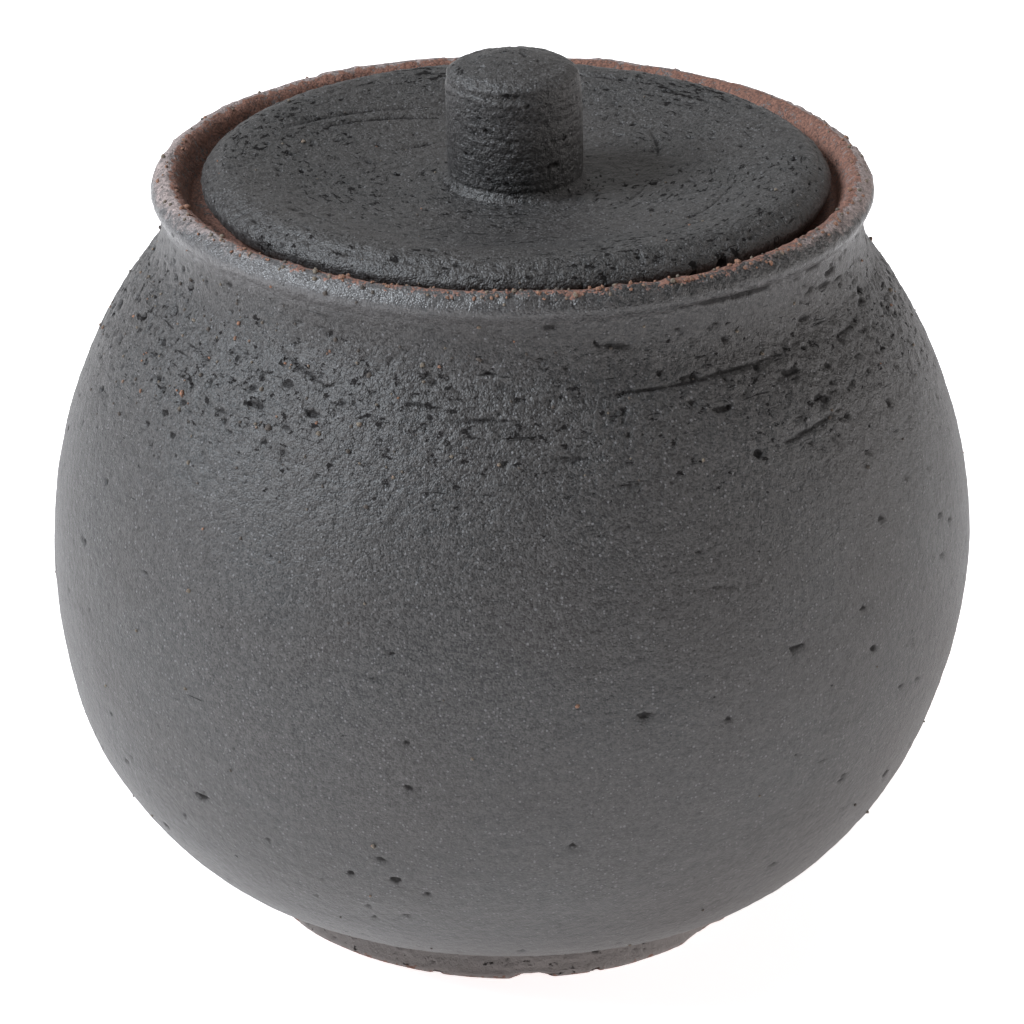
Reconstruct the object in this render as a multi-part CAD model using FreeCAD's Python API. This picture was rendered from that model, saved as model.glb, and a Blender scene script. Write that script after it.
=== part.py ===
"""Lidded sugar bowl in dark stoneware, thrown on a wheel.

A round pot stands on a low foot ring and narrows to a short waisted neck with a rolled lip. Inside the neck a
ledge carries a drop-in lid: a thick, slightly dished disc with a full round edge and a short stem knob.
The clay pieces are made one by one and joined wet with slip: the foot ring under the pot, the knob on the lid.
After firing the pot and its foot ring are one body, and the lid and its knob are the other.

Millimetres, +Z up. The origin is on the table, at the centre of the foot ring. Every piece is turned about Z,
so each one is drawn as a closed outline of (radius, height) points and revolved.
"""

import FreeCAD
import Part

import math
import os

# Round body of the pot
BELLY_RADIUS = 50.0        # outside of the round body
BELLY_HEIGHT = 41.0        # its widest level above the table
SHOULDER_CURVE = 51.5      # radius of the outline's curve above the widest level
BELLY_CURVE = 56.0         # and below it
LOWER_CURVE = 30.3         # tighter curve that tucks the body in towards its foot
LOWER_START = 18.0         # degrees round the belly curve where that curve takes over
WALL = 4.0                 # thrown wall
FLOOR_THICKNESS = 5.0      # turned floor, left thicker than the wall
FLOOR_CURVE = 24.0         # inside curve that brings the wall level into the floor

# Foot ring under the pot
FOOT_HEIGHT = 4.0          # table to the flat underside of the pot
FOOT_RADIUS = 27.8         # outside, at the table
FOOT_WIDTH = 4.6           # width of the ring at its top
FOOT_TAPER = 0.8           # the ring is this much narrower at its top on both sides
FOOT_EDGE = 0.5            # rounding of its two lower edges

# Neck, lip and lid ledge
WAIST_RADIUS = 37.4        # narrowest outside radius, under the lip
WAIST_HEIGHT = 77.5
LIP_ROUND = 1.6            # radius of the rolled lip's section
LIP_RADIUS = 36.8          # centre of that section
LIP_HEIGHT = 81.3
LIP_INSIDE = 150.0         # degrees round the section where the lip's inner side turns straight
UNDERCUT = 3.0             # hollow curve from the waist out to the lip
SEAT_HEIGHT = 79.6         # top of the ledge
SEAT_RADIUS = 34.4         # foot of the inside wall above the ledge
THROAT_RADIUS = 29.5       # way into the pot, inside the ledge
LEDGE_EDGE = 0.8           # rounding of the ledge's two inner edges
LEDGE_DEPTH = 2.6          # height of the ledge's inner edge
LEDGE_UNDERSIDE = 71.5     # level where the sloping underside of the ledge meets the inside wall

# Lid
SEAT_CLEARANCE = 0.15      # grit between the lid and the ledge
EDGE_ROUND = 2.5           # the lid's full round edge, half its thickness
EDGE_RADIUS = 30.9         # centre of that edge's section
DISH_PAD = 9.2             # flat middle of the dished top, where the knob sits
DISH_DEPTH = 3.4           # from the top of the round edge down to that middle
LAND_RADIUS = 29.9         # inner edge of the flat land that rests on the ledge
BELLY_DROP = 3.0           # the lid's underside bulges this far below the land, into the throat
BELLY_START = 28.6         # radius where that bulge begins
BELLY_STEP = 0.6           # depth of the step from the land to the bulge

# Knob
KNOB_HEIGHT = 12.95        # from the lid's pad to the knob's top edge
KNOB_TOP_RADIUS = 7.3
KNOB_STEM_RADIUS = 7.3     # at the top of the flared foot
KNOB_FOOT_RADIUS = 8.2     # slip fillet where it meets the lid
KNOB_FOOT_HEIGHT = 1.8
KNOB_EDGE = 1.6            # rounding of the top edge
KNOB_CROWN = 0.4           # the top rises this much to its middle


def point(radius, height):
    """A point of an outline, in the XZ plane."""
    return FreeCAD.Vector(radius, 0, height)


def polar(centre, radius, degrees):
    """The point at an angle on a circle, as (radius, height), with 0 degrees pointing away from the Z axis."""
    angle = math.radians(degrees)
    return centre[0] + radius * math.cos(angle), centre[1] + radius * math.sin(angle)


def direction(start, end):
    """Angle in degrees of the line from one (radius, height) point to another."""
    return math.degrees(math.atan2(end[1] - start[1], end[0] - start[0]))


class Outline:
    """A closed outline, drawn from point to point with lines and arcs and then revolved about Z."""

    def __init__(self, start):
        self.start = start
        self.last = start
        self.edges = []

    def line(self, end):
        self.edges.append(Part.LineSegment(point(*self.last), point(*end)).toShape())
        self.last = end

    def arc(self, centre, radius, start_degrees, end_degrees):
        """An arc about a centre. A line first reaches its start if the outline isn't there yet."""
        start = polar(centre, radius, start_degrees)
        middle = polar(centre, radius, (start_degrees + end_degrees) / 2)
        end = polar(centre, radius, end_degrees)
        if math.dist(start, self.last) > 1e-6:
            self.line(start)
        self.edges.append(Part.Arc(point(*self.last), point(*middle), point(*end)).toShape())
        self.last = end

    def arc_through(self, middle, end):
        self.edges.append(Part.Arc(point(*self.last), point(*middle), point(*end)).toShape())
        self.last = end

    def turned(self):
        """The solid of revolution of the closed outline."""
        if math.dist(self.last, self.start) > 1e-6:
            self.line(self.start)
        face = Part.Face(Part.Wire(self.edges))
        solid = face.revolve(FreeCAD.Vector(0, 0, 0), FreeCAD.Vector(0, 0, 1), 360)
        return solid if solid.ShapeType == "Solid" else Part.Solid(Part.Shell(solid.Faces))


def lip_undercut():
    """Centre of the hollow curve that leaves the waist upright and touches the rolled lip, as (radius, height).

    It touches the lip from outside, so the two centres are UNDERCUT + LIP_ROUND apart, and it keeps the
    waist's radius at its own level.
    """
    across = WAIST_RADIUS + UNDERCUT - LIP_RADIUS
    up = math.sqrt((UNDERCUT + LIP_ROUND) ** 2 - across ** 2)
    return WAIST_RADIUS + UNDERCUT, LIP_HEIGHT - up


def belly_centre(curve):
    """Centre of a body curve of this radius that is upright at the widest level, as (radius, height)."""
    return BELLY_RADIUS - curve, BELLY_HEIGHT


def neck_curve():
    """Centre and radius of the hollow curve that leaves the shoulder smoothly and is upright at the waist.

    Its centre stands its own radius outside the waist, and SHOULDER_CURVE plus its radius from the shoulder's
    centre. Writing that out and solving for the radius gives the last line but one.
    """
    shoulder = belly_centre(SHOULDER_CURVE)
    across = WAIST_RADIUS - shoulder[0]
    rise = WAIST_HEIGHT - shoulder[1]
    radius = (across ** 2 + rise ** 2 - SHOULDER_CURVE ** 2) / (2 * (SHOULDER_CURVE - across))
    return (WAIST_RADIUS + radius, WAIST_HEIGHT), radius


def pot_outside(outline):
    """Draws the pot's outside, from its flat underside up to the inner side of the lip."""
    shoulder = belly_centre(SHOULDER_CURVE)
    belly = belly_centre(BELLY_CURVE)
    lower = polar(belly, BELLY_CURVE - LOWER_CURVE, -LOWER_START)
    underside = -math.degrees(math.asin((lower[1] - FOOT_HEIGHT) / LOWER_CURVE))
    outline.arc(lower, LOWER_CURVE, underside, -LOWER_START)
    outline.arc(belly, BELLY_CURVE, -LOWER_START, 0)

    neck, neck_radius = neck_curve()
    outline.arc(shoulder, SHOULDER_CURVE, 0, direction(shoulder, neck))
    outline.arc(neck, neck_radius, direction(neck, shoulder) + 360, 180)

    undercut = lip_undercut()
    lip = (LIP_RADIUS, LIP_HEIGHT)
    outline.arc(undercut, UNDERCUT, 180, direction(undercut, lip))
    outline.arc(lip, LIP_ROUND, direction(lip, undercut), LIP_INSIDE)


def pot_inside(outline):
    """Draws the pot's inside, from the lip down over the lid's ledge and the round wall to the floor."""
    outline.arc((SEAT_RADIUS - LEDGE_EDGE, SEAT_HEIGHT + LEDGE_EDGE), LEDGE_EDGE, 0, -90)
    outline.arc((THROAT_RADIUS + LEDGE_EDGE, SEAT_HEIGHT - LEDGE_EDGE), LEDGE_EDGE, 90, 180)
    outline.arc((THROAT_RADIUS + LEDGE_EDGE, SEAT_HEIGHT - LEDGE_DEPTH), LEDGE_EDGE, 180, 225)

    shoulder = belly_centre(SHOULDER_CURVE)
    shoulder_radius = SHOULDER_CURVE - WALL
    ledge_end = math.degrees(math.asin((LEDGE_UNDERSIDE - BELLY_HEIGHT) / shoulder_radius))
    outline.arc(shoulder, shoulder_radius, ledge_end, 0)

    belly = belly_centre(BELLY_CURVE)
    belly_radius = BELLY_CURVE - WALL
    floor = FOOT_HEIGHT + FLOOR_THICKNESS
    drop = BELLY_HEIGHT - FLOOR_CURVE - floor
    floor_start = -math.degrees(math.asin(drop / (belly_radius - FLOOR_CURVE)))
    outline.arc(belly, belly_radius, 0, floor_start)
    outline.arc(polar(belly, belly_radius - FLOOR_CURVE, floor_start), FLOOR_CURVE, floor_start, -90)
    outline.line((0.0, floor))


def pot_body():
    """The thrown pot: flat underside, round body, neck, rolled lip, lid ledge, inside wall and floor."""
    outline = Outline((0.0, FOOT_HEIGHT))
    pot_outside(outline)
    pot_inside(outline)
    return outline.turned()


def foot_ring():
    """The ring of clay luted under the pot. It stands on a flat face with both its lower edges rounded."""
    top_outer = FOOT_RADIUS - FOOT_TAPER
    top_inner = top_outer - FOOT_WIDTH
    inner = top_inner + FOOT_TAPER
    outline = Outline((top_inner, FOOT_HEIGHT))
    outline.line((inner, FOOT_EDGE))
    outline.arc((inner + FOOT_EDGE, FOOT_EDGE), FOOT_EDGE, 180, 270)
    outline.arc((FOOT_RADIUS - FOOT_EDGE, FOOT_EDGE), FOOT_EDGE, -90, 0)
    outline.line((top_outer, FOOT_HEIGHT))
    return outline.turned()


def lid_land():
    """Level of the flat land under the lid, which rests on the ledge."""
    return SEAT_HEIGHT + SEAT_CLEARANCE


def lid_edge():
    """Centre of the lid's full round edge, as (radius, height)."""
    return EDGE_RADIUS, lid_land() + EDGE_ROUND


def lid_pad():
    """Level of the flat middle of the lid's top, which the knob stands on."""
    return lid_land() + 2 * EDGE_ROUND - DISH_DEPTH


def lid_disc():
    """The lid without its knob: full round edge, dished top with a flat pad, and a bulging underside.

    The dish is one arc that leaves the pad level and touches the round edge, so the two centres are
    EDGE_ROUND plus its radius apart. Writing that out and solving for the radius gives dish_radius.
    """
    edge = lid_edge()
    across = edge[0] - DISH_PAD
    rise = edge[1] - lid_pad()
    dish_radius = (across ** 2 + rise ** 2 - EDGE_ROUND ** 2) / (2 * (EDGE_ROUND + rise))
    dish = (DISH_PAD, lid_pad() + dish_radius)

    bulge_edge = (BELLY_START, lid_land() - BELLY_STEP)
    bulge_low = lid_land() - BELLY_DROP
    bulge_sag = bulge_edge[1] - bulge_low
    bulge_radius = (BELLY_START ** 2 + bulge_sag ** 2) / (2 * bulge_sag)
    halfway = BELLY_START / 2
    bulge_middle = bulge_low + bulge_radius - math.sqrt(bulge_radius ** 2 - halfway ** 2)

    outline = Outline((0.0, bulge_low))
    outline.arc_through((halfway, bulge_middle), bulge_edge)
    outline.line((LAND_RADIUS, lid_land()))
    outline.arc(edge, EDGE_ROUND, -90, direction(edge, dish))
    outline.arc(dish, dish_radius, direction(dish, edge), -90)
    outline.line((0.0, lid_pad()))
    return outline.turned()


def lid_knob():
    """The solid knob: a short stem that flares at its foot and ends in a low crown with a rounded edge."""
    foot = lid_pad()
    shoulder = foot + KNOB_HEIGHT - KNOB_EDGE
    inner_top = KNOB_TOP_RADIUS - KNOB_EDGE
    flare_middle = (KNOB_STEM_RADIUS + (KNOB_FOOT_RADIUS - KNOB_STEM_RADIUS) * 0.3, foot + KNOB_FOOT_HEIGHT * 0.35)
    crown_radius = (inner_top ** 2 + KNOB_CROWN ** 2) / (2 * KNOB_CROWN)
    crown_edge = foot + KNOB_HEIGHT
    crown_middle = crown_edge + KNOB_CROWN - crown_radius + math.sqrt(crown_radius ** 2 - (inner_top / 2) ** 2)

    outline = Outline((0.0, foot))
    outline.line((KNOB_FOOT_RADIUS, foot))
    outline.arc_through(flare_middle, (KNOB_STEM_RADIUS, foot + KNOB_FOOT_HEIGHT))
    outline.line((KNOB_TOP_RADIUS, shoulder))
    outline.arc((inner_top, shoulder), KNOB_EDGE, 0, 90)
    outline.arc_through((inner_top / 2, crown_middle), (0.0, crown_edge + KNOB_CROWN))
    return outline.turned()


PIECES = {
    "pot_body": pot_body,
    "foot_ring": foot_ring,
    "lid_disc": lid_disc,
    "lid_knob": lid_knob,
}

os.makedirs("parts", exist_ok=True)
for name, make in PIECES.items():
    solid = make()
    solid.exportStep(os.path.join("parts", name + ".step"))
    box = solid.BoundBox
    print(f"{name}: valid {solid.isValid()}, {solid.Volume / 1000:.1f} cm3, "
          f"radius {box.XMax:.2f}, height {box.ZMin:.2f} to {box.ZMax:.2f}")
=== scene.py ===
import math

import bpy
import numpy as np
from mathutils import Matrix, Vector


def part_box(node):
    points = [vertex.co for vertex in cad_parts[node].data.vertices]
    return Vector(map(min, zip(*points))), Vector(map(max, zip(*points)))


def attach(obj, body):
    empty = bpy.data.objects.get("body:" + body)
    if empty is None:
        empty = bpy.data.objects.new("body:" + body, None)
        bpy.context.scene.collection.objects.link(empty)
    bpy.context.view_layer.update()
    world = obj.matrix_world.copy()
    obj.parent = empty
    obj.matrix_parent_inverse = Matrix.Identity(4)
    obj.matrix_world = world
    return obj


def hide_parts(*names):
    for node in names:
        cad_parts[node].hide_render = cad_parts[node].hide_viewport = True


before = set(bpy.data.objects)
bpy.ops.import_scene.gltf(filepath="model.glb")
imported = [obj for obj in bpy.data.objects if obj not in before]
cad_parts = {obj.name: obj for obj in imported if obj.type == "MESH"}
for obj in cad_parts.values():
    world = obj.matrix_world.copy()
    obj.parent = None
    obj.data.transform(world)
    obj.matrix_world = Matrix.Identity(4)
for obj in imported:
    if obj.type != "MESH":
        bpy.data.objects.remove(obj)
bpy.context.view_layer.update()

# A lidded sugar bowl in black-slipped stoneware. Sizes are in millimetres until a mesh is made, heights are
# above the table, and every piece is turned about Z, so its outline is a line of (radius, height) points.
MM = 0.001


# -------------------------------------------------------------------------------------------- The pot
# Thrown in coarse red-brown clay, turned, and brushed outside with a black slip that stays matt. The wall
# rises round to a short waisted neck with a rolled lip, and a ledge inside the neck carries the lid. The
# turning tool has pulled grit out of the shoulder, so it has many small torn pits and a few long drags.

pot_low, pot_high = (np.array(corner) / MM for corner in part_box("pot_body"))
BELLY_RADIUS = pot_high[0]
BELLY_HEIGHT = 41.0
SHOULDER_CURVE = 51.5      # outline curve above the widest level
BELLY_CURVE = 56.0         # and below it
LOWER_CURVE = 30.3         # tighter curve in to the foot
LOWER_START = 18.0         # degrees below level where it begins
UNDERSIDE = pot_low[2]
WALL = 4.0
FLOOR = UNDERSIDE + 5.0
FLOOR_CURVE = 24.0

WAIST_RADIUS = 37.4
WAIST_HEIGHT = 77.5
LIP_ROUND = 1.6
LIP_RADIUS = 36.8
LIP_HEIGHT = pot_high[2] - LIP_ROUND
UNDERCUT = 3.0             # hollow curve between the waist and the lip
SEAT_RADIUS = 34.4
SEAT_HEIGHT = 79.6
THROAT_RADIUS = 29.5
LEDGE_EDGE = 0.8
LEDGE_DEPTH = 2.6
LEDGE_UNDERSIDE = 71.5

OUTSIDE_STEP = 0.32        # spacing of the pot's first, fine mesh
POT_COLUMNS = 960
POT_FACES = 196000         # triangles left once its smooth stretches are thinned


def polar(centre, radius, degrees):
    """The (r, z) point centre + radius (cos a, sin a)."""
    angle = math.radians(degrees)
    return centre[0] + radius * math.cos(angle), centre[1] + radius * math.sin(angle)


def arc(centre, radius, start, end):
    """A row of (r, z) points centre + radius (cos a, sin a), with a going from start to end degrees."""
    angle = np.radians(np.linspace(start, end, 150))
    return np.stack([centre[0] + radius * np.cos(angle), centre[1] + radius * np.sin(angle)], axis=1)


def even(parts, step):
    """Joins rows of (r, z) points and spaces them evenly: points at equal steps of the length along them."""
    line = np.concatenate([np.reshape(part, (-1, 2)) for part in parts])
    length = np.concatenate([[0.0], np.cumsum(np.linalg.norm(np.diff(line, axis=0), axis=1))])
    at = np.linspace(0.0, length[-1], int(round(length[-1] / step)) + 1)
    return np.stack([np.interp(at, length, line[:, 0]), np.interp(at, length, line[:, 1])], axis=1)


def aim(start, end):
    """Degrees of the line from one (r, z) point to another."""
    return math.degrees(math.atan2(end[1] - start[1], end[0] - start[0]))


def pot_outside():
    """The outline from the middle of the underside, round the wall and neck, to the top of the lip."""
    shoulder = (BELLY_RADIUS - SHOULDER_CURVE, BELLY_HEIGHT)
    belly = (BELLY_RADIUS - BELLY_CURVE, BELLY_HEIGHT)
    lower = polar(belly, BELLY_CURVE - LOWER_CURVE, -LOWER_START)
    corner = -math.degrees(math.asin((lower[1] - UNDERSIDE) / LOWER_CURVE))
    across = WAIST_RADIUS - shoulder[0]
    rise = WAIST_HEIGHT - BELLY_HEIGHT
    neck_curve = (across ** 2 + rise ** 2 - SHOULDER_CURVE ** 2) / (2 * (SHOULDER_CURVE - across))
    neck = (WAIST_RADIUS + neck_curve, WAIST_HEIGHT)
    lip = (LIP_RADIUS, LIP_HEIGHT)
    drop = math.sqrt((UNDERCUT + LIP_ROUND) ** 2 - (WAIST_RADIUS + UNDERCUT - LIP_RADIUS) ** 2)
    undercut = (WAIST_RADIUS + UNDERCUT, LIP_HEIGHT - drop)
    return [
        arc(lower, LOWER_CURVE, corner, -LOWER_START),
        arc(belly, BELLY_CURVE, -LOWER_START, 0),
        arc(shoulder, SHOULDER_CURVE, 0, aim(shoulder, neck)),
        arc(neck, neck_curve, aim(neck, shoulder) + 360, 180),
        arc(undercut, UNDERCUT, 180, aim(undercut, lip)),
        arc(lip, LIP_ROUND, aim(lip, undercut), 90),
    ]


def pot_neck_inside():
    """The outline from the top of the lip down the inside of the neck to the lower edge of the ledge."""
    seat = (SEAT_RADIUS - LEDGE_EDGE, SEAT_HEIGHT + LEDGE_EDGE)
    throat = THROAT_RADIUS + LEDGE_EDGE
    return [
        arc((LIP_RADIUS, LIP_HEIGHT), LIP_ROUND, 90, 150),
        arc(seat, LEDGE_EDGE, 0, -90),
        arc((throat, SEAT_HEIGHT - LEDGE_EDGE), LEDGE_EDGE, 90, 180),
        arc((throat, SEAT_HEIGHT - LEDGE_DEPTH), LEDGE_EDGE, 180, 225),
    ]


def pot_inside():
    """The outline from under the ledge, down the inside of the wall, to the middle of the floor."""
    shoulder = (BELLY_RADIUS - SHOULDER_CURVE, BELLY_HEIGHT)
    belly = (BELLY_RADIUS - BELLY_CURVE, BELLY_HEIGHT)
    under = math.degrees(math.asin((LEDGE_UNDERSIDE - BELLY_HEIGHT) / (SHOULDER_CURVE - WALL)))
    reach = BELLY_CURVE - WALL - FLOOR_CURVE
    turn = -math.degrees(math.asin((BELLY_HEIGHT - FLOOR_CURVE - FLOOR) / reach))
    return [
        arc(shoulder, SHOULDER_CURVE - WALL, under, 0),
        arc(belly, BELLY_CURVE - WALL, 0, turn),
        arc(polar(belly, reach, turn), FLOOR_CURVE, turn, -90),
        (0.0, FLOOR),
    ]


def turned(outline, columns):
    """Sweeps an outline round Z: places (r cos a, r sin a, z), and normals (cos a dz, sin a dz, -dr)."""
    angle = np.arange(columns) * 2 * np.pi / columns
    along = np.gradient(outline, axis=0)
    along /= np.linalg.norm(along, axis=1, keepdims=True)
    ring = np.stack([np.cos(angle), np.sin(angle)], axis=1)
    place = np.empty((len(outline), columns, 3))
    place[..., :2] = outline[:, :1, None] * ring
    place[..., 2] = outline[:, 1:]
    normal = np.empty_like(place)
    normal[..., :2] = along[:, 1:, None] * ring
    normal[..., 2] = -along[:, :1]
    return place, normal


def lumps(place, size, seed):
    """Random heights from -1 to 1 that change smoothly over `size` (one number, or one for each direction).

    Random numbers stand on a cubic lattice and are blended between its points by 3t^2 - 2t^3.
    """
    lattice = np.random.default_rng(seed).uniform(-1.0, 1.0, (40, 40, 40)).astype(np.float32)
    at = (place / np.array(size) + 1000.0).astype(np.float32)
    cell = at.astype(np.int32)
    t = at - cell
    t = t * t * (3.0 - 2.0 * t)
    low, high = cell % 40, (cell + 1) % 40
    total = np.zeros(place.shape[:-1], dtype=np.float32)
    for corner in np.ndindex(2, 2, 2):
        index = [high[..., k] if corner[k] else low[..., k] for k in range(3)]
        weight = [t[..., k] if corner[k] else 1.0 - t[..., k] for k in range(3)]
        total += weight[0] * weight[1] * weight[2] * lattice[index[0], index[1], index[2]]
    return total


def hollows(place, step, rows, angles, size, drag, deep, ragged):
    """How far small marks sink into a turned grid, in millimetres: the deepest of the marks at each point.

    A mark is `size` across its half height and drag times that round the pot. At a distance q from its
    middle, counted in its own half sizes, it is deep * sqrt(1.5 (1 - q^2 - ragged)) deep, and at most deep.
    """
    count, columns = place.shape[:2]
    turn = 2 * np.pi / columns
    radius = np.hypot(place[:, 0, 0], place[:, 0, 1])
    row = np.clip(np.round(rows).astype(int), 0, count - 1)
    column = np.round(angles / turn).astype(int)
    reach = np.arange(-math.ceil(1.3 * size.max() / step), math.ceil(1.3 * size.max() / step) + 1)
    spread = math.ceil(1.3 * (size * drag).max() / (radius[row].min() * turn))
    around = np.arange(-spread, spread + 1)
    at_row = np.clip(row[:, None] + reach, 0, count - 1)[:, :, None] + 0 * around
    at_column = (column[:, None, None] + around + 0 * reach[:, None]) % columns
    up = (row[:, None] + reach - rows[:, None]) * step / size[:, None]
    side = (column[:, None] + around) * turn - angles[:, None]
    side = side * radius[row, None] / (size * drag)[:, None]
    inside = 1.0 - up[:, :, None] ** 2 - side[:, None, :] ** 2 - ragged[at_row, at_column]
    depth = deep[:, None, None] * np.sqrt(np.clip(1.5 * inside, 0.0, 1.0))
    sunk = np.zeros((count, columns), dtype=np.float32)
    np.maximum.at(sunk, (at_row, at_column), depth)
    return sunk


def drags(place, level, marks, rough):
    """How far lines dragged by the turning tool sink into a turned grid, in millimetres.

    A mark is (from degrees, to degrees, level at its start, at its end, half width, depth), where level is
    the height on a wall and the radius on a lid. Its section is depth * exp(-(distance / half width)^2),
    and it fades in and out over its length as sqrt(4 t (1 - t)).
    """
    angle = np.degrees(np.arctan2(place[..., 1], place[..., 0]))
    sunk = np.zeros(place.shape[:2], dtype=np.float32)
    for start, end, first, last, wide, deep in marks:
        t = ((angle - start) % 360.0) / ((end - start) % 360.0)
        line = first + (last - first) * t + 0.3 * wide * rough
        fade = np.sqrt(np.clip(4.0 * t * (1.0 - t), 0.0, 1.0)) * np.clip(1.0 + 0.7 * rough, 0.0, 1.0)
        sunk = np.maximum(sunk, deep * fade * np.exp(-((level - line) / wide) ** 2))
    return sunk


def turned_faces(rows, columns, ring=False):
    """Faces of a turned grid. A ring's last row joins its first; any other grid has a pole at each end."""
    at = np.arange(rows * columns).reshape(rows, columns)
    after = np.roll(at, -1, axis=1)
    if ring:
        above, above_after = np.roll(at, -1, axis=0), np.roll(after, -1, axis=0)
        return [np.stack([at, after, above_after, above], axis=-1).reshape(-1, 4)]
    quads = np.stack([at[:-1], after[:-1], after[1:], at[1:]], axis=-1).reshape(-1, 4)
    first = np.full(columns, rows * columns)
    bottom = np.stack([first, after[0], at[0]], axis=-1)
    top = np.stack([at[-1], after[-1], first + 1], axis=-1)
    return [quads, bottom, top]


def with_poles(grid):
    """A turned grid as one list, followed by the mean of its first row and the mean of its last."""
    ends = np.stack([grid[0].mean(axis=0), grid[-1].mean(axis=0)])
    return np.concatenate([grid.reshape((-1,) + grid.shape[2:]), ends])


def piece_of_clay(name, places, faces, marks):
    """A smooth mesh object: places in millimetres, lists of faces, and a number per place for each mark."""
    mesh = bpy.data.meshes.new(name)
    sizes = np.concatenate([np.full(len(group), group.shape[1]) for group in faces])
    mesh.vertices.add(len(places))
    mesh.vertices.foreach_set("co", (places * MM).astype(np.float32).ravel())
    mesh.loops.add(int(sizes.sum()))
    corners = np.concatenate([group.ravel() for group in faces]).astype(np.int32)
    mesh.loops.foreach_set("vertex_index", corners)
    mesh.polygons.add(len(sizes))
    mesh.polygons.foreach_set("loop_start", (np.cumsum(sizes) - sizes).astype(np.int32))
    mesh.polygons.foreach_set("use_smooth", np.ones(len(sizes), dtype=bool))
    for key, values in marks.items():
        mark = mesh.attributes.new(key, "FLOAT", "POINT")
        mark.data.foreach_set("value", values.astype(np.float32).ravel())
    mesh.update(calc_edges=True)
    piece = bpy.data.objects.new(name, mesh)
    bpy.context.scene.collection.objects.link(piece)
    return piece


def thin(piece, triangles):
    """Collapses the smooth stretches of a fine mesh until it has this many triangles."""
    corners = np.empty(len(piece.data.polygons), dtype=np.int32)
    piece.data.polygons.foreach_get("loop_total", corners)
    collapse = piece.modifiers.new("thin", "DECIMATE")
    collapse.ratio = min(1.0, triangles / float((corners - 2).sum()))
    fine = piece.data
    graph = bpy.context.evaluated_depsgraph_get()
    piece.data = bpy.data.meshes.new_from_object(piece.evaluated_get(graph))
    piece.modifiers.clear()
    piece.data.name = fine.name
    bpy.data.meshes.remove(fine)


class Value:
    """A number, colour or vector in a material. Sums and comparisons written with it become Math nodes."""

    def __init__(self, finish, socket):
        self.finish = finish
        self.socket = socket

    def math(self, operation, *others):
        return self.finish.node("Math", {"operation": operation}, list((self,) + others))

    def __add__(self, other):
        return self.math("ADD", other)

    def __sub__(self, other):
        return self.math("SUBTRACT", other)

    def __mul__(self, other):
        return self.math("MULTIPLY", other)

    def __truediv__(self, other):
        return self.math("DIVIDE", other)

    def __pow__(self, other):
        return self.math("POWER", other)

    def __lt__(self, other):
        return self.math("LESS_THAN", other)

    def __rsub__(self, other):
        return self.finish.node("Math", {"operation": "SUBTRACT"}, [other, self])

    def __rtruediv__(self, other):
        return self.finish.node("Math", {"operation": "DIVIDE"}, [other, self])

    __radd__ = __add__
    __rmul__ = __mul__

    def between(self, low, high):
        """0 where this is low, 1 where it is high, and a smooth step from one to the other."""
        return self.finish.node("MapRange", {"interpolation_type": "SMOOTHSTEP"},
                                {"Value": self, "From Min": low, "From Max": high})

    def other(self, name):
        """Another output of the node that this came from."""
        return Value(self.finish, self.socket.node.outputs[name])


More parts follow.
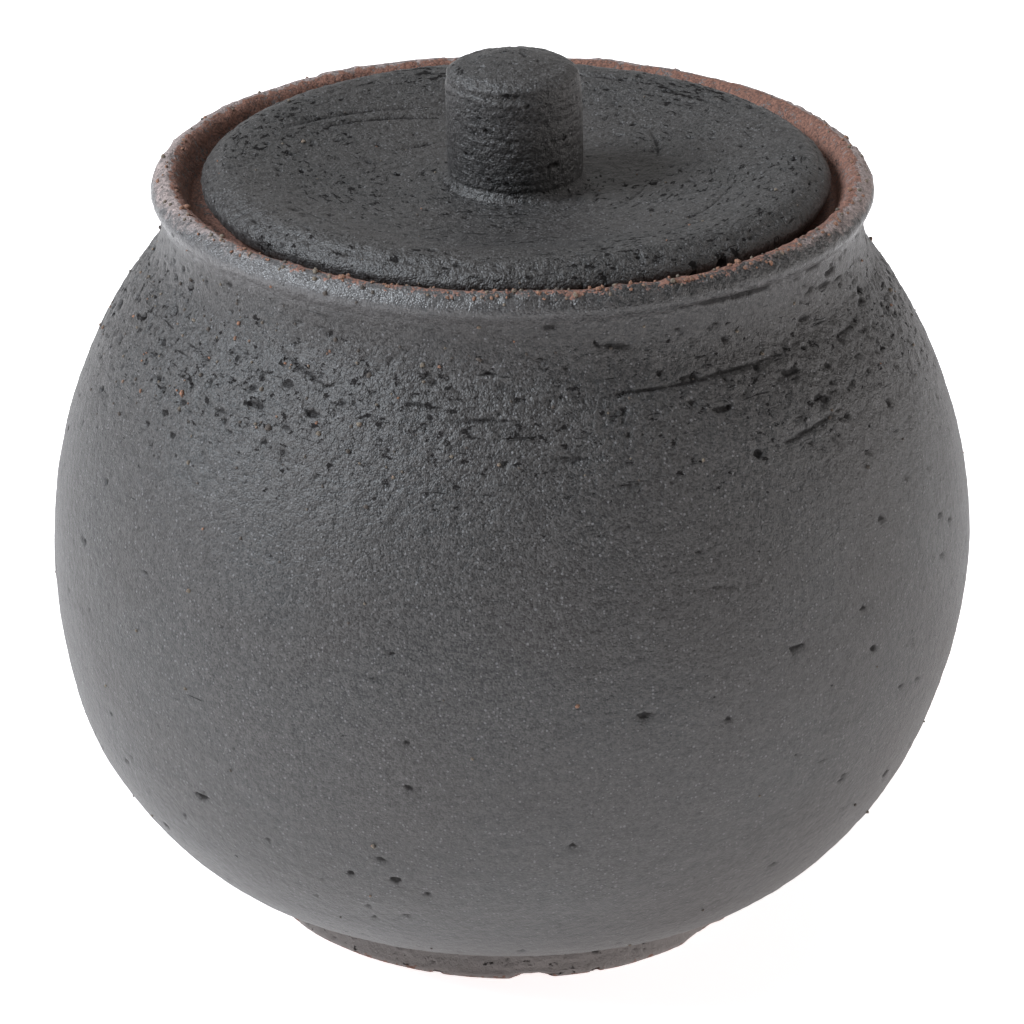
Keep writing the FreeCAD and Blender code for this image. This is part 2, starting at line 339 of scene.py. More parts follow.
class Finish:
    """A fired surface, as a material's nodes."""

    def __init__(self, name):
        self.material = bpy.data.materials.new(name)
        self.material.use_nodes = True
        self.tree = self.material.node_tree
        self.tree.nodes.clear()
        self.place = self.node("TexCoord", {}, {}, "Object")

    def node(self, kind, settings, values, output=0):
        """Adds a node: its settings first, then its sockets by name or in order. Returns one output."""
        made = self.tree.nodes.new("ShaderNode" + kind)
        for key, setting in settings.items():
            setattr(made, key, setting)
        sockets = [socket for socket in made.inputs if socket.enabled]
        named = values.items() if isinstance(values, dict) else enumerate(values)
        for key, value in named:
            socket = sockets[key] if isinstance(key, int) else next(s for s in sockets if s.name == key)
            if isinstance(value, Value):
                self.tree.links.new(value.socket, socket)
            elif socket.type == "RGBA":
                socket.default_value = (*value, 1.0)
            else:
                socket.default_value = value
        outputs = [socket for socket in made.outputs if socket.enabled and output in (0, socket.name)]
        return Value(self, outputs[0]) if outputs else None

    def noise(self, size, detail=2.0, rough=0.5, place=None):
        """Cloudy noise from 0 to 1 whose largest lumps are `size` millimetres."""
        values = {"Vector": place or self.place, "Scale": 1.0 / (size * MM)}
        values.update({"Detail": detail, "Roughness": rough})
        return self.node("TexNoise", {}, values)

    def cells(self, size):
        """Distance from the middle of the nearest of many cells `size` millimetres wide, in cell widths."""
        return self.node("TexVoronoi", {}, {"Vector": self.place, "Scale": 1.0 / (size * MM)})

    def spots(self, size, widest, share):
        """1 inside small round spots: `share` of the cells have one, up to `widest` cells wide."""
        cell = self.cells(size)
        chance = self.node("SeparateColor", {}, [cell.other("Color")])
        radius = chance.other("Green") * widest * 0.3 + widest * 0.2
        return ((radius - cell) / (widest * 0.14)).between(0.0, 1.0) * (chance < share)

    def mix(self, share, first, second):
        """One colour over another: first where share is 0, second where it is 1."""
        return self.node("Mix", {"data_type": "RGBA"}, {"Factor": share, "A": first, "B": second})

    def mark(self, name):
        """The number that the mesh carries under this name."""
        return self.node("Attribute", {"attribute_name": name}, {}, "Fac")

    def fire(self, colour, roughness, relief, depth, pit_shade=None, **constants):
        """Ends the material: its colour, roughness and relief vary, and the constants are plain numbers.

        Where `pit_shade` is 1 the surface is painted nearly black: painted shade for the inside of a pit.
        """
        bump = self.node("Bump", {}, {"Strength": 1.0, "Distance": depth * MM, "Height": relief})
        values = {"Base Color": colour, "Roughness": roughness, "Normal": bump}
        values.update({key.replace("_", " "): number for key, number in constants.items()})
        shader = self.node("BsdfPrincipled", {}, values)
        if pit_shade is not None:
            # A nearly black finish: painted shade inside pits and drags.
            dark = {"Base Color": (0.006, 0.005, 0.005), "Roughness": 0.9, "Specular IOR Level": 0.1}
            shader = self.node("MixShader", {}, [pit_shade, shader, self.node("BsdfPrincipled", {}, dark)])
        self.node("OutputMaterial", {}, {"Surface": shader})
        return self.material


def black_slip(name, torn=0.0, level=None, smooth=0.0, thin_slip_and_painted_light=0.0):
    """Matt black slip over coarse clay: sandy, with bright grains and painted glints, torn pits and turning
    lines.

    Higher up it is coarser, and on the shoulder it is torn the most; `torn` adds to that. The turning lines
    follow the height unless another `level` is given. Along the lip `smooth` is taken off the roughness, and
    a pale bluish highlight is painted on the lip's left side, where the window light falls.
    `thin_slip_and_painted_light` is how
    far the piece is painted paler: pale clay through a thin slip, and painted light that lifts its shade.
    The mesh's marks say where it is sunk, which is painted nearly black as shade, where it is rubbed to a
    pinkish grey (bare), and where the red-brown clay shows (red).
    """
    clay = Finish(name)
    x, y, z = (clay.node("SeparateXYZ", {}, [clay.place], axis) for axis in "XYZ")
    level = level(x, y) if level else z
    rings = clay.node("CombineXYZ", {}, [x * 0.1, y * 0.1, level])
    flat = clay.node("CombineXYZ", {}, [x * 0.6, y * 0.6, level])
    coarseness = z.between(5 * MM, 75 * MM) * 0.35 + 0.65
    away = (z - 70 * MM) / (8.5 * MM)
    shoulder = (away * away * -1.0).math("EXPONENT")

    # Where the slip is clouded, sandy, torn or dragged, and where a hollow is painted nearly black as shade.
    cloud = clay.noise(13.0, 3.0)
    patch = clay.noise(2.4, 3.0, 0.6)
    coarse = clay.noise(0.8, 2.0, 0.6)
    sand = clay.cells(0.19)
    speck = clay.node("SeparateColor", {}, [sand.other("Color")])
    tear = clay.noise(0.75, 3.0, 0.62, flat)
    line = clay.noise(0.5, 3.0, 0.6, rings)
    torn_here = shoulder * (patch * 0.22 + 0.01) + (cloud - 0.25) * (torn * 4.6)
    pits = (tear - (0.715 - torn_here)).between(0.0, 0.08)
    drags = (line - (0.74 - torn_here * 0.6)).between(0.0, 0.03)
    sunk = clay.mark("sunk").between(0.06, 0.24)
    # Painted shade: pits, drags and sunk places are mixed towards nearly black.
    pit_shade = (pits * 0.9 + drags * 0.7 + sunk * 0.7).math("MINIMUM", 1.0)
    grain = clay.spots(0.38, 0.9, 0.28)

    # Dark slip, then paler sand, darker turning lines, and bright grains with painted glints on them.
    contrast = (speck - 0.5) * coarseness * 1.15 + coarse
    tone = clay.mix(cloud.between(0.35, 0.65), (0.0125, 0.0100, 0.0095), (0.0105, 0.0105, 0.0110))
    tone = clay.mix(contrast, tone, (0.060, 0.0560, 0.0545))
    streaks = (line - 0.5).between(0.0, 0.25) * (1.0 - coarseness * 0.6)
    tone = clay.mix(streaks, tone, (0.020, 0.019, 0.019))
    # Bright specks: pale sand grains, partly painted glints of the light on them.
    tone = clay.mix(grain * coarseness * 0.5, tone, (0.20, 0.195, 0.20))
    # Paler all over: partly a thin slip over pale clay, partly painted light lifting the shade.
    if thin_slip_and_painted_light:
        tone = clay.mix(thin_slip_and_painted_light, tone, (0.20, 0.180, 0.172))
    if smooth:
        lip = z.between(78.5 * MM, 80.5 * MM)
        # Painted highlight: a pale bluish band on the left of the lip, where the window light falls.
        tone = clay.mix(lip * x.between(20 * MM, -20 * MM) * 0.3, tone, (0.155, 0.150, 0.152))
    # What is rubbed off, in soft patches, and the red-brown clay in sharper ones.
    blotch = patch * 1.2 + coarse * 1.2 + contrast * 0.3
    bare, bared = clay.mark("bare"), clay.mark("red")
    dusty = (bare + blotch * 0.8 - 1.35).between(0.0, 0.9) * bare.between(0.0, 0.2)
    tone = clay.mix(dusty * 0.85, tone, clay.mix(contrast, (0.185, 0.143, 0.133), (0.37, 0.293, 0.275)))
    red = (bared * 0.9 + blotch * 1.6 - 2.9).between(0.0, 0.3) * bared.between(0.0, 0.2)
    tone = clay.mix(red, tone, clay.mix(contrast, (0.080, 0.040, 0.030), (0.22, 0.106, 0.076)))

    roughness = 0.48 + speck * 0.12 + dusty * 0.3 + red * 0.3 - cloud * 0.06
    if smooth:
        roughness = roughness - lip * smooth
    sandy = speck * 0.13 - sand * 0.18 + coarse * (shoulder * 0.45 + (0.75 + torn * 4.0)) + grain * 0.25
    relief = sandy * coarseness - pits * 0.8 - drags * 0.5
    return clay.fire(tone, roughness, relief, 0.30, pit_shade * (1.0 - dusty * 0.7))


BARE_INSIDE = 1.5          # the inside has no slip, so the red-brown clay shows all over it
DRAWN_IN = 0.4
LOW_BULGE = 0.75
NECK_SHIFT = np.array([0.2, 0.0, 0.0])
LOW_SHIFT = np.array([0.7, 0.0, 0.0])

# The outline, softened just under the lip. Only the outside and the lip are finely divided.
rng = np.random.default_rng(11)
under_part = even([(0.0, UNDERSIDE), pot_outside()[0][0]], 1.5)
outer_part = even(pot_outside(), OUTSIDE_STEP)
soft = np.stack([np.convolve(outer_part[:, k], np.ones(9) / 9, "same") for k in range(2)], axis=1)
under_lip = np.clip(1.5 - np.abs(outer_part[:, 1:] - 79.0) / 1.4, 0.0, 1.0)
outer_part += (soft - outer_part) * under_lip
neck_part = even([pot_outside()[-1][-1]] + pot_neck_inside(), 0.4)
inner_part = even([pot_neck_inside()[-1][-1]] + pot_inside(), 1.2)
pot_line = np.concatenate([under_part[1:-1], outer_part, neck_part[1:], inner_part[1:-1]])
outer_rows = np.arange(len(outer_part)) + len(under_part) - 2
outside = np.isin(np.arange(len(pot_line)), outer_rows)[:, None]

place, normal = turned(pot_line, POT_COLUMNS)
height = place[..., 2]
fine = lumps(place, 0.5, 1)
shoulder = np.exp(-((height - 70.0) / 9.0) ** 2)
# Uneven throwing, low throwing rings, sand that stands out most on the shoulder, and fine turning lines.
relief = 0.11 * lumps(place, 15.0, 2) + 0.05 * lumps(place, 5.0, 3)
relief += 0.045 * lumps(place, (30.0, 30.0, 2.6), 5)
relief += (0.03 + 0.04 * shoulder) * (lumps(place, 1.3, 4) + fine)
relief += 0.02 * lumps(place, (20.0, 20.0, 0.8), 6)
crest = np.exp(-((height - LIP_HEIGHT - LIP_ROUND) / 1.2) ** 2)
tilt = np.arctan2(normal[..., 2], np.hypot(normal[..., 0], normal[..., 1]))
# The lip's outer face is flattened where it slopes up and outward, and its crest is crumbled.
LIP_FACE_TILT = math.radians(42)
LIP_FACE_DEPTH = 0.12
lip_face = np.cos(3.0 * np.clip(tilt - LIP_FACE_TILT, -math.pi / 3, math.pi / 3))
on_lip = np.clip((height - LIP_HEIGHT + 1.5) / 0.6, 0.0, 1.0) * outside
relief -= LIP_FACE_DEPTH * lip_face * on_lip
relief += crest * (0.13 * lumps(place, 2.2, 7) + 0.34 * np.maximum(lumps(place, 0.8, 8) - 0.2, 0.0))

# Small pits, crowded on the shoulder. Every third is on the left, and a sixth of them are longer, higher up
# and on the right.
PITS = 1140
crowding = 0.05 + np.exp(-((pot_line[outer_rows, 1] - 71.0) / 7.0) ** 2)
pit_row = rng.choice(outer_rows, PITS, p=crowding / crowding.sum()) + rng.uniform(-0.5, 0.5, PITS)
pit_angle = rng.uniform(0, 2 * np.pi, PITS)
pit_angle[::3] = np.radians(rng.normal(210.0, 35.0, PITS // 3)) % (2 * np.pi)
pit_angle[1::6] = np.radians(rng.normal(322.0, 20.0, PITS // 6)) % (2 * np.pi)
pit_size = 0.15 + 0.10 * rng.random(PITS) + 0.20 * rng.random(PITS) ** 6
pit_drag = 1.0 + 2.0 * rng.random(PITS) ** 3
pit_drag[1::6] *= 1.8
pit_row[1::6] += 9.0
pit_deep = pit_size * rng.uniform(0.5, 1.1, PITS)
sunk = hollows(place, OUTSIDE_STEP, pit_row, pit_angle, pit_size, pit_drag, pit_deep, 0.9 * fine)

# Single deeper pits and drags: degrees round the pot, height, and half size.
BIG_PITS = [(-55.6, 65.4, 0.50), (-74.8, 42.0, 0.42), (-41.8, 42.2, 0.42), (-104.0, 48.7, 0.33),
            (-102.2, 39.2, 0.33), (-82.1, 26.9, 0.33), (-104.1, 21.4, 0.45), (-110.1, 21.5, 0.40)]
big_angle, big_height, big_size = np.array(BIG_PITS).T
big_row = outer_rows[0] + np.interp(big_height, outer_part[:, 1], np.arange(len(outer_part)))
big_drag = np.full(len(big_size), 1.3)
sunk = np.maximum(sunk, hollows(place, OUTSIDE_STEP, big_row, np.radians(big_angle) % (2 * np.pi),
                                big_size, big_drag, 0.8 * big_size, 0.5 * fine))
# Drags of the turning tool: from and to degrees, height at each, half width and depth.
TOOL_MARKS = [(-81, -44, 72.4, 73.0, 0.15, 0.38), (-61, -46.5, 80.0, 79.6, 0.30, 0.75),
              (-41, -20, 77.4, 76.0, 0.16, 0.34), (-77.5, -71.6, 77.0, 76.7, 0.20, 0.45),
              (-99.8, -89.9, 70.6, 70.8, 0.18, 0.36), (-68.1, -61.5, 54.4, 53.6, 0.18, 0.22),
              (-52, -38, 65.5, 66.6, 0.20, 0.36), (-85, -79, 67.5, 67.4, 0.20, 0.33),
              (-128, -117, 74.0, 71.8, 0.18, 0.33), (-34, -24, 72.0, 72.3, 0.16, 0.34),
              (60, 95, 70.0, 71.0, 0.20, 0.40), (150, 170, 67.5, 67.0, 0.22, 0.38)]
sunk = np.maximum(sunk, drags(place, height, TOOL_MARKS, fine) * outside)

# The slip is rubbed along the lip's crest, more at the back, and the red-brown clay shows inside it.
reach = np.hypot(place[..., 0], place[..., 1])
angle = np.degrees(np.arctan2(place[..., 1], place[..., 0]))
front = np.exp(-((angle + 90.0) / 65.0) ** 4)
bare = np.clip((LIP_RADIUS + 2.6 - 1.4 * front - reach) / 1.6, 0.0, 1.0) * (1.0 - 0.3 * front)
bare *= np.clip((height - LIP_HEIGHT + 0.3) / 0.9, 0.0, 1.0)
bare *= 1.0 + 0.35 * np.clip((place[..., 0] - 28.0) / 8.0, 0.0, 1.0)
red_edge = np.clip((LIP_RADIUS - 0.4 + 1.6 * front - reach) / 0.9, 0.0, 1.0) * crest
red = np.where(outside, red_edge, BARE_INSIDE)

# Off round: drawn in on the right above the belly, fuller just above the foot, the low wall moved to the
# left and the neck to the right.
up = place[..., 2:]
right_side = np.clip(place[..., :1] / BELLY_RADIUS, 0.0, 1.0)
off_round = -DRAWN_IN * right_side * (1.0 - np.exp(-((up - BELLY_HEIGHT) / 13.0) ** 2))
off_round *= up > BELLY_HEIGHT
off_round += LOW_BULGE * np.exp(-((up - 7.0) / 6.0) ** 2)
lean = NECK_SHIFT * np.clip((up - BELLY_HEIGHT) / 40.0, 0.0, 1.0)
lean -= LOW_SHIFT * np.exp(-((up - 19.0) / 12.0) ** 2) * outside[..., None]
place += normal * ((relief - sunk)[..., None] + off_round * outside[..., None]) + lean

pot = piece_of_clay("pot_wall", with_poles(place), turned_faces(*place.shape[:2]),
                    {"sunk": with_poles(sunk), "bare": with_poles(bare), "red": with_poles(red)})
thin(pot, POT_FACES)
pot.data.materials.append(black_slip("pot_slip", smooth=0.15))
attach(pot, "pot")
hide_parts("pot_body")


# -------------------------------------------------------------------------------------------- The grit
# Coarse sand and crushed fired clay in the body. The turning tool lays single grains bare, dark brown, tan
# or orange. They stand out of the slip, most of them on the shoulder and as crumbs along the lip.

def grit(name, spots, normals, sizes, material, seed):
    """Small stones: an icosahedron for each spot, its corners moved by up to a third, turned at random.

    Each one's middle stands out of the surface by a tenth of its size.
    """
    golden = (1 + math.sqrt(5)) / 2
    corners = [(x, y * golden, 0) for x in (-1, 1) for y in (-1, 1)]
    corners = corners + [(0, x, y) for x, y, _ in corners] + [(y, 0, x) for x, y, _ in corners]
    corners = np.array(corners) / math.hypot(1, golden)
    gaps = np.linalg.norm(corners[:, None] - corners, axis=2)
    near = np.abs(gaps - np.sort(gaps.ravel())[12]) < 1e-6
    index = np.arange(12)
    first, second, third = np.meshgrid(index, index, index, indexing="ij")
    face = near[first, second] & near[second, third] & near[third, first]
    face &= (first < second) & (second < third)
    faces = np.stack([first[face], second[face], third[face]], axis=1)
    a, b, c = (corners[faces[:, k]] for k in range(3))
    inward = np.einsum("ij,ij->i", np.cross(b - a, c - a), a) < 0
    faces[inward] = faces[inward][:, ::-1]

    random = np.random.default_rng(seed)
    stones = corners * random.uniform(0.67, 1.1, (len(spots), 12, 1))
    stones = stones * random.uniform(0.7, 1.2, (len(spots), 1, 3))
    spin, _ = np.linalg.qr(random.normal(size=(len(spots), 3, 3)))
    spin *= np.sign(np.linalg.det(spin))[:, None, None]
    stones = np.einsum("nij,nkj->nki", spin, stones) * sizes[:, None, None]
    stones += (spots + normals * (sizes * 0.1)[:, None])[:, None]
    every = (faces + 12 * np.arange(len(spots))[:, None, None]).reshape(-1, 3)
    piece = piece_of_clay(name, stones.reshape(-1, 3), [every], {})
    piece.data.materials.append(material)
    return piece


def bare_stone(name, orange):
    """A grain of fired clay: dark brown, tan or dull orange from one grain to the next, rough all over."""
    clay = Finish(name)
    hue = clay.noise(2.3, 1.0) + orange
    speck = clay.noise(0.12, 2.0, 0.6)
    tone = clay.mix(hue.between(0.42, 0.50), (0.050, 0.041, 0.035), (0.165, 0.135, 0.100))
    tone = clay.mix(hue.between(0.53, 0.60), tone, (0.27, 0.125, 0.072))
    tone = clay.mix(speck.between(0.35, 0.70), tone, (0.075, 0.060, 0.050))
    return clay.fire(tone, 0.75 + speck * 0.15, speck, 0.04)


stone = bare_stone("bare_stone", -0.035)
# Single stones: degrees round the pot, height, and half size.
STONES = [(-142.6, 67.6, 0.45), (-112.0, 73.7, 0.42), (-125.4, 67.6, 0.42), (-111.9, 69.6, 0.30),
          (-132.1, 50.3, 0.38), (-38.0, 60.5, 0.28), (-60.0, 13.0, 0.25)]
# Half of the other grains lie all round the shoulder and half on its left. The lip's are mostly in front.
GRAINS = 300
LIP_GRAINS = 190
stone_angle, stone_height, stone_size = np.array(STONES).T
stone_row = outer_rows[0] + np.interp(stone_height, outer_part[:, 1], np.arange(len(outer_part)))
lip_rows = np.nonzero(np.abs(pot_line[:, 1] - LIP_HEIGHT - LIP_ROUND) < 0.30)[0]
grain_row = np.concatenate([
    np.round(stone_row).astype(int),
    rng.choice(outer_rows, GRAINS, p=crowding / crowding.sum()),
    rng.choice(lip_rows, LIP_GRAINS),
])
grain_column = np.concatenate([
    np.round(stone_angle % 360 / 360 * POT_COLUMNS).astype(int),
    rng.integers(0, POT_COLUMNS, GRAINS // 2),
    np.round(rng.normal(0.61, 0.10, GRAINS // 2) * POT_COLUMNS).astype(int) % POT_COLUMNS,
    np.round(rng.normal(0.74, 0.17, LIP_GRAINS) * POT_COLUMNS).astype(int) % POT_COLUMNS,
])
grain_size = 0.12 + 0.11 * rng.random(len(grain_row)) + 0.18 * rng.random(len(grain_row)) ** 6
grain_size[-LIP_GRAINS:] *= 1.2
grain_size[:len(STONES)] = stone_size
grain_place = place[grain_row, grain_column]
grain_normal = normal[grain_row, grain_column]
pot_grit = grit("pot_grit", grain_place[:-LIP_GRAINS], grain_normal[:-LIP_GRAINS],
                grain_size[:-LIP_GRAINS], stone, 21)
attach(pot_grit, "pot")
lip_grit = grit("lip_grit", grain_place[-LIP_GRAINS:], grain_normal[-LIP_GRAINS:],
                grain_size[-LIP_GRAINS:], bare_stone("lip_stone", 0.09), 23)
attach(lip_grit, "pot")


# -------------------------------------------------------------------------------------------- The foot ring
# A coil of the same clay luted under the pot and turned true on the wheel. The tool tore its side into
# short level streaks, its standing edge is chipped, and the slip is wiped off the face it stands on.

FOOT_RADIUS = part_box("foot_ring")[1][0] / MM
FOOT_TOP = FOOT_RADIUS - 0.8
FOOT_WIDTH = 4.6
FOOT_EDGE = 0.5
FOOT_SUNK = 0.4            # the ring is luted this far into the pot's underside
FOOT_SHIFT = np.array([-0.25, 0.0, 0.0])
FOOT_FULLER = 0.3          # the outer side stands out this much further
CHIPPED_RADIUS = 25.5      # only the side outside this is chipped
FOOT_STEP = 0.25
FOOT_COLUMNS = 680

foot_inside = FOOT_TOP - FOOT_WIDTH + 0.8
foot_line = even([
    (FOOT_TOP - FOOT_WIDTH, UNDERSIDE + FOOT_SUNK),
    arc((foot_inside + FOOT_EDGE, FOOT_EDGE), FOOT_EDGE, 180, 270),
    arc((FOOT_RADIUS - FOOT_EDGE, FOOT_EDGE), FOOT_EDGE, -90, 0),
    (FOOT_TOP, UNDERSIDE + FOOT_SUNK),
    (FOOT_TOP - FOOT_WIDTH, UNDERSIDE + FOOT_SUNK),
], FOOT_STEP)[:-1]
place, normal = turned(foot_line, FOOT_COLUMNS)
angle = np.degrees(np.arctan2(place[..., 1], place[..., 0]))
fine = lumps(place, 0.45, 31)
relief = 0.10 * lumps(place, 6.0, 32) + 0.06 * lumps(place, (3.0, 3.0, 0.5), 33) + 0.035 * fine
STREAKS = 280
streak_row = rng.uniform(0, len(foot_line) - 1, STREAKS)
streak_size = 0.11 + 0.11 * rng.random(STREAKS) ** 2
sunk = hollows(place, FOOT_STEP, streak_row, rng.uniform(0, 2 * np.pi, STREAKS), streak_size,
               rng.uniform(1.5, 5.0, STREAKS), streak_size * rng.uniform(1.0, 1.8, STREAKS), 0.7 * fine)
sunk *= place[..., 2] < UNDERSIDE
outer_side = np.hypot(place[..., 0], place[..., 1]) > CHIPPED_RADIUS
# Chips in the standing edge: degrees, half width in degrees, height and depth.
CHIPS = [(-85.3, 4.3, 0.42, 0.45), (-40.0, 6.0, 0.1, 0.8), (33.0, 3.5, 0.3, 0.5), (152.0, 2.5, 0.3, 0.4)]
lift = np.zeros(place.shape[:2])
for middle, wide, high, deep in CHIPS:
    bite = np.exp(-(((angle - middle + 180.0) % 360.0 - 180.0) / wide) ** 4)
    bite *= (1.0 + 0.25 * fine) * outer_side
    bite *= np.clip(1.0 - place[..., 2] / 2.2, 0.0, 1.0)
    lift += high * bite
    relief -= deep * bite * 0.6
relief += FOOT_FULLER * outer_side
low_red = np.clip(1.6 - place[..., 2] / 0.45, 0.0, 1.5)
place += normal * (relief - sunk)[..., None] + FOOT_SHIFT
place[..., 2] = np.maximum(place[..., 2] + lift, 0.0)
foot = piece_of_clay("foot_coil", place.reshape(-1, 3), turned_faces(*place.shape[:2], ring=True),
                     {"sunk": sunk, "red": low_red})
# Painted much paler: a thin slip over pale clay, and painted light lifting the shade under the belly.
foot.data.materials.append(black_slip("foot_slip", torn=0.075, thin_slip_and_painted_light=0.95))
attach(foot, "pot")
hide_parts("foot_ring")


# -------------------------------------------------------------------------------------------- The lid
# A thick disc with a full round edge, a dished top and a bulging underside. It drops into the neck and
# lies loose on the ledge, a little to one side of the middle. The same slip, pitted and scratched.

lid_low, lid_high = (np.array(corner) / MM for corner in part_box("lid_disc"))
SEAT_CLEARANCE = 0.15
EDGE_ROUND = 2.5
EDGE_RADIUS = lid_high[0] - EDGE_ROUND
LAND = SEAT_HEIGHT + SEAT_CLEARANCE
LAND_RADIUS = 29.9
PAD = LAND + 2 * EDGE_ROUND - 3.4
PAD_RADIUS = 9.2
BULGE_START = 28.6
BULGE_STEP = 0.6
LID_PLAY = np.array([0.45, 0.25, 0.0])
SOFTNESS = 3.4             # how far the crest between the edge and the dish is rubbed down
LID_STEP = 0.28
LID_COLUMNS = 720
LID_FACES = 180000


def lid_line():
    """The lid's outline: the bulging underside, the land, the round edge and the dish down to the pad.

    The crest between the edge and the dish is rubbed soft: a mean of the places near it, weighted by
    exp(-(distance / softness)^2).
    """
    edge = (EDGE_RADIUS, LAND + EDGE_ROUND)
    across, rise = EDGE_RADIUS - PAD_RADIUS, edge[1] - PAD
    dish_curve = (across ** 2 + rise ** 2 - EDGE_ROUND ** 2) / (2 * (EDGE_ROUND + rise))
    dish = (PAD_RADIUS, PAD + dish_curve)
    sag = LAND - BULGE_STEP - lid_low[2]
    bulge_curve = (BULGE_START ** 2 + sag ** 2) / (2 * sag)
    bulge_end = math.degrees(math.asin(BULGE_START / bulge_curve))
    line = even([
        arc((0.0, lid_low[2] + bulge_curve), bulge_curve, -90, bulge_end - 90),
        (LAND_RADIUS, LAND),
        arc(edge, EDGE_ROUND, -90, aim(edge, dish)),
        arc(dish, dish_curve, aim(dish, edge), -90),
        (0.0, PAD),
    ], LID_STEP)
    weight = np.exp(-(np.arange(-25, 26) * LID_STEP / SOFTNESS) ** 2)
    weight /= weight.sum()
    soft = np.stack([np.convolve(line[:, k], weight, "same") for k in range(2)], axis=1)
    share = np.clip((line[:, 1:] - LAND - 2.2) / 2.0, 0.0, 1.0)
    share *= np.clip((line[:, :1] - 16.0) / 4.0, 0.0, 1.0)
    return (line + (soft - line) * share)[1:-1]


line = lid_line()
place, normal = turned(line, LID_COLUMNS)
radius = np.hypot(place[..., 0], place[..., 1])
fine = lumps(place, 0.45, 41)
relief = 0.10 * lumps(place, 11.0, 42) + 0.05 * lumps(place, 4.0, 43)
relief += 0.07 * lumps(place, 1.2, 44) + 0.055 * fine
relief += 0.03 * lumps(np.stack([radius, place[..., 2], 0 * radius], axis=-1), 1.1, 45)
dish_part = (line[:, 0] < 30.0) & (line[:, 1] > LAND)
top_rows = np.nonzero((line[:, 1] > LAND + EDGE_ROUND * 0.6) | dish_part)[0]
LID_PITS = 640
pit_row = rng.choice(top_rows, LID_PITS, p=line[top_rows, 0] / line[top_rows, 0].sum())
pit_size = 0.14 + 0.09 * rng.random(LID_PITS) + 0.22 * rng.random(LID_PITS) ** 6
sunk = hollows(place, LID_STEP, pit_row + rng.uniform(-0.5, 0.5, LID_PITS),
               rng.uniform(0, 2 * np.pi, LID_PITS), pit_size, 1.0 + rng.random(LID_PITS) ** 2,
               pit_size * rng.uniform(0.5, 1.0, LID_PITS), 0.7 * fine)
# Scratches across the dish: from and to degrees, radius at each, half width and depth.
LID_MARKS = [(113, 152, 19.0, 24.5, 0.22, 0.36), (118, 160, 22.0, 27.0, 0.20, 0.30),
             (128, 148, 14.0, 15.5, 0.22, 0.28), (60, 100, 27.5, 28.6, 0.22, 0.26),
             (-75, -35, 27.0, 26.0, 0.30, 0.22), (-50, -15, 24.0, 23.0, 0.26, 0.24),
             (-150, -120, 26.5, 27.5, 0.26, 0.24), (20, 42, 16.0, 19.5, 0.25, 0.28),
             (-40, -5, 13.0, 14.0, 0.26, 0.20)]
upper = place[..., 2] > LAND + 1.0
sunk = np.maximum(sunk, drags(place, radius, LID_MARKS, fine) * upper)
place += normal * (relief - sunk)[..., None] + LID_PLAY
lid = piece_of_clay("lid_dish", with_poles(place), turned_faces(*place.shape[:2]),
                    {"sunk": with_poles(sunk)})
thin(lid, LID_FACES)
lid.data.materials.append(black_slip("lid_slip", torn=0.085, level=lambda x, y: (x * x + y * y) ** 0.5))
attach(lid, "lid")
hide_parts("lid_disc")

LID_GRAINS = 70
grain_row = rng.choice(top_rows, LID_GRAINS)
grain_column = rng.integers(0, LID_COLUMNS, LID_GRAINS)
grain_size = 0.09 + 0.10 * rng.random(LID_GRAINS) + 0.15 * rng.random(LID_GRAINS) ** 6
lid_grit = grit("lid_grit", place[grain_row, grain_column], normal[grain_row, grain_column],
                grain_size, stone, 22)
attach(lid_grit, "lid")


# -------------------------------------------------------------------------------------------- The knob
# A solid stub of the same clay, luted to the lid and turned with it: close throwing lines round its side, a
# small bead just under its rounded top, and a thin line and a fillet of slip where it meets the dish.

knob_high = np.array(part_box("lid_knob")[1]) / MM
KNOB_FOOT_RADIUS = knob_high[0]
KNOB_RADIUS = 7.3
KNOB_FOOT_HEIGHT = 1.8
KNOB_EDGE = 2.3
KNOB_CROWN = 0.8
KNOB_TOP = knob_high[2] - KNOB_CROWN
BEAD_HEIGHT = 92.9         # the small bead, and the groove under it
GROOVE_HEIGHT = 92.2
LUTED_LINE = 0.9           # the thin line is this high above the pad
KNOB_LEAN = np.array([-0.03, 0.0, 0.035])
KNOB_STEP = 0.15
KNOB_COLUMNS = 300

crown_reach = KNOB_RADIUS - KNOB_EDGE
crown_curve = (crown_reach ** 2 + KNOB_CROWN ** 2) / (2 * KNOB_CROWN)
crown_angle = math.degrees(math.asin(crown_reach / crown_curve))
fillet = KNOB_FOOT_RADIUS - KNOB_RADIUS
line = even([
    (0.0, PAD - 0.5),
    (KNOB_FOOT_RADIUS, PAD - 0.5),
    (KNOB_FOOT_RADIUS, PAD),
    arc((KNOB_FOOT_RADIUS, PAD + fillet), fillet, -90, -180),
    (KNOB_RADIUS, PAD + KNOB_FOOT_HEIGHT),
    arc((crown_reach, KNOB_TOP - KNOB_EDGE), KNOB_EDGE, 0, 90),
    arc((0.0, KNOB_TOP + KNOB_CROWN - crown_curve), crown_curve, 90 - crown_angle, 90),
], KNOB_STEP)[1:-1]
place, normal = turned(line, KNOB_COLUMNS)
height = place[..., 2]
side = np.clip((KNOB_TOP - 0.8 - height) / 0.6, 0, 1) * (height > PAD)
fine = lumps(place, 0.35, 51)
relief = 0.10 * lumps(place, 5.0, 52) + 0.05 * lumps(place, 1.3, 53) + 0.04 * fine
lines_round = lumps(place, (9.0, 9.0, 0.42), 54)
relief += side * (0.04 * lines_round + 0.05 * lumps(place, (5.0, 5.0, 0.28), 55))
turn_of_bead = 0.5 + 0.5 * lumps(place, (7.0, 7.0, 40.0), 56)
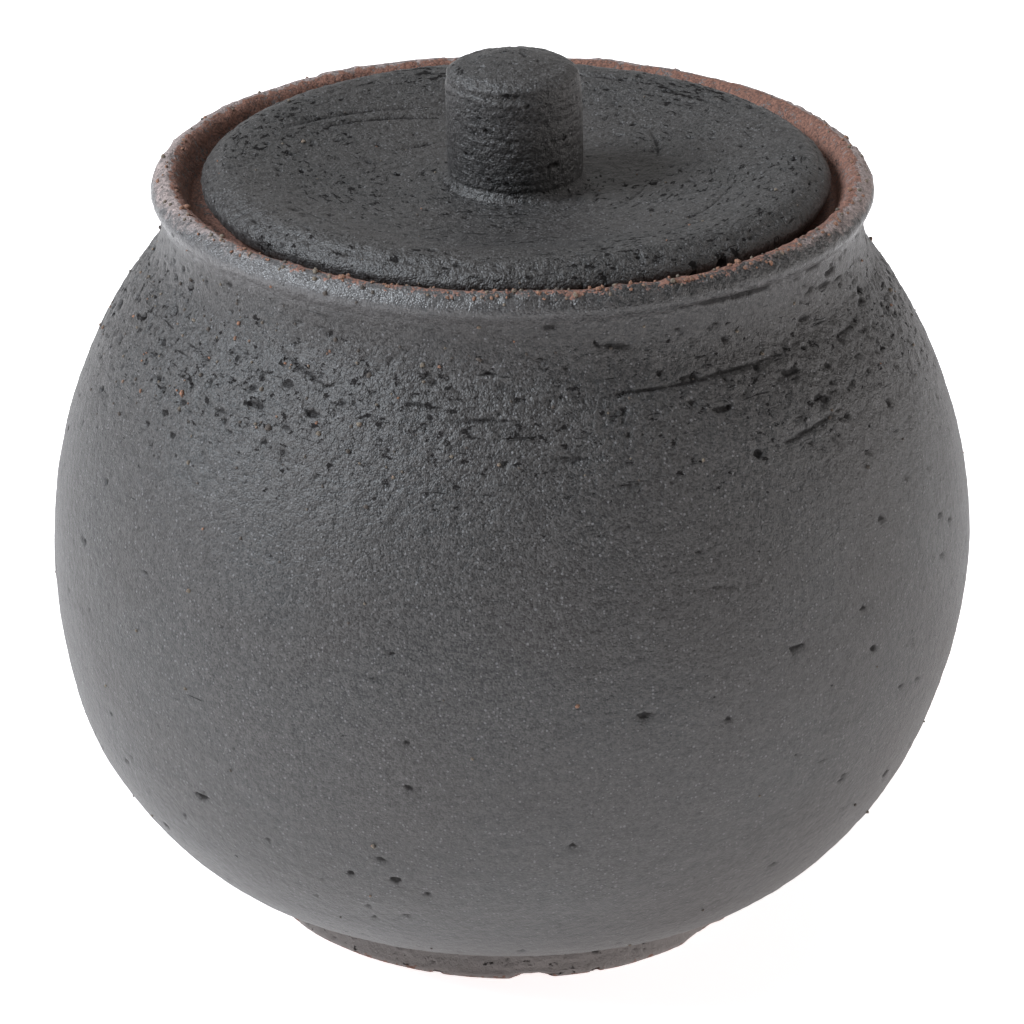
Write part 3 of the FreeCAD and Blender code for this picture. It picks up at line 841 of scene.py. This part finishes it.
bead = 0.22 * np.exp(-((height - BEAD_HEIGHT) / 0.3) ** 2)
bead -= 0.12 * np.exp(-((height - GROOVE_HEIGHT) / 0.3) ** 2)
luted_line = np.exp(-((height - PAD - LUTED_LINE) / 0.2) ** 2)
relief += turn_of_bead * bead - 0.10 * luted_line - 0.15 * side
KNOB_PITS = 70
pit_size = 0.12 + 0.08 * rng.random(KNOB_PITS) + 0.2 * rng.random(KNOB_PITS) ** 5
sunk = hollows(place, KNOB_STEP, rng.uniform(len(line) * 0.42, len(line) - 1, KNOB_PITS),
               rng.uniform(0, 2 * np.pi, KNOB_PITS), pit_size, 1.0 + 2.5 * rng.random(KNOB_PITS) ** 2,
               pit_size * rng.uniform(0.5, 1.0, KNOB_PITS), 0.7 * fine)
sunk = np.maximum(sunk, 0.05 * luted_line)
lean = KNOB_LEAN * np.clip(place[..., 2:] - PAD, 0.0, None)
place += normal * (relief - sunk)[..., None] + LID_PLAY + lean
knob = piece_of_clay("knob_stub", with_poles(place), turned_faces(*place.shape[:2]),
                     {"sunk": with_poles(sunk)})
knob.data.materials.append(black_slip("knob_slip", torn=0.075))
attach(knob, "lid")
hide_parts("lid_knob")


# -------------------------------------------------------------------------------------------- The studio
# A pale table, a soft window of light on the left, and weaker light from above, behind and the right.

table_mesh = bpy.data.meshes.new("table")
table_reach = 3.0
table_corners = [(-1, -1), (1, -1), (1, 1), (-1, 1)]
table_places = [(x * table_reach, y * table_reach, 0.0) for x, y in table_corners]
table_mesh.from_pydata(table_places, [], [(0, 1, 2, 3)])
table = bpy.data.objects.new("table", table_mesh)
bpy.context.scene.collection.objects.link(table)
paper = Finish("lit_white_table")
grain = paper.noise(3.0, 2.0)
white = paper.mix(grain, (0.80, 0.80, 0.80), (0.82, 0.82, 0.82))
table_mesh.materials.append(paper.fire(white, 0.8 + grain * 0.05, grain, 0.01,
                                       Emission_Color=(1.0, 0.95, 0.95), Emission_Strength=0.9))


def soft_light(name, place, target, size, power, colour):
    """A square soft light at a place, turned to face a target."""
    light = bpy.data.lights.new(name, "AREA")
    light.size = size
    light.energy = power
    light.color = colour
    lamp = bpy.data.objects.new(name, light)
    lamp.location = place
    towards = np.array(target) - np.array(place)
    lamp.rotation_euler = (math.atan2(math.hypot(towards[0], towards[1]), -towards[2]), 0,
                           math.atan2(-towards[0], towards[1]))
    bpy.context.scene.collection.objects.link(lamp)


soft_light("window_left", (-0.86, -0.2, 0.82), (0, 0, 0.05), 0.5, 23.0, (0.87, 0.935, 1.0))
soft_light("wall_behind", (0.0, 1.1, 0.15), (0, 0, 0.05), 1.6, 3.5, (1.0, 0.99, 0.98))
soft_light("ceiling", (0.0, 0.1, 1.3), (0, 0, 0.09), 0.8, 3.8, (1.0, 1.0, 1.0))
soft_light("wall_right", (1.1, 0.0, 0.1), (0, 0, 0.05), 1.0, 7.6, (1.0, 0.975, 0.96))
world = bpy.data.worlds.new("room")
world.use_nodes = True
world.node_tree.nodes["Background"].inputs["Color"].default_value = (1.0, 0.99, 0.98, 1.0)
world.node_tree.nodes["Background"].inputs["Strength"].default_value = 0.105
bpy.context.scene.world = world
bpy.context.scene.view_settings.view_transform = "Standard"

CAMERA_DISTANCE = 0.5
CAMERA_TILT = math.radians(24.14)
LOOK_AT = (0.0, 0.0, 0.0427)
lens = bpy.data.cameras.new("camera")
lens.lens = 160.3
lens.sensor_width = 36.0
lens.clip_start = 0.01
camera = bpy.data.objects.new("camera", lens)
camera.location = (LOOK_AT[0], -CAMERA_DISTANCE * math.cos(CAMERA_TILT),
                   LOOK_AT[2] + CAMERA_DISTANCE * math.sin(CAMERA_TILT))
camera.rotation_euler = (math.pi / 2 - CAMERA_TILT, 0.0, 0.0)
bpy.context.scene.collection.objects.link(camera)
bpy.context.scene.camera = camera
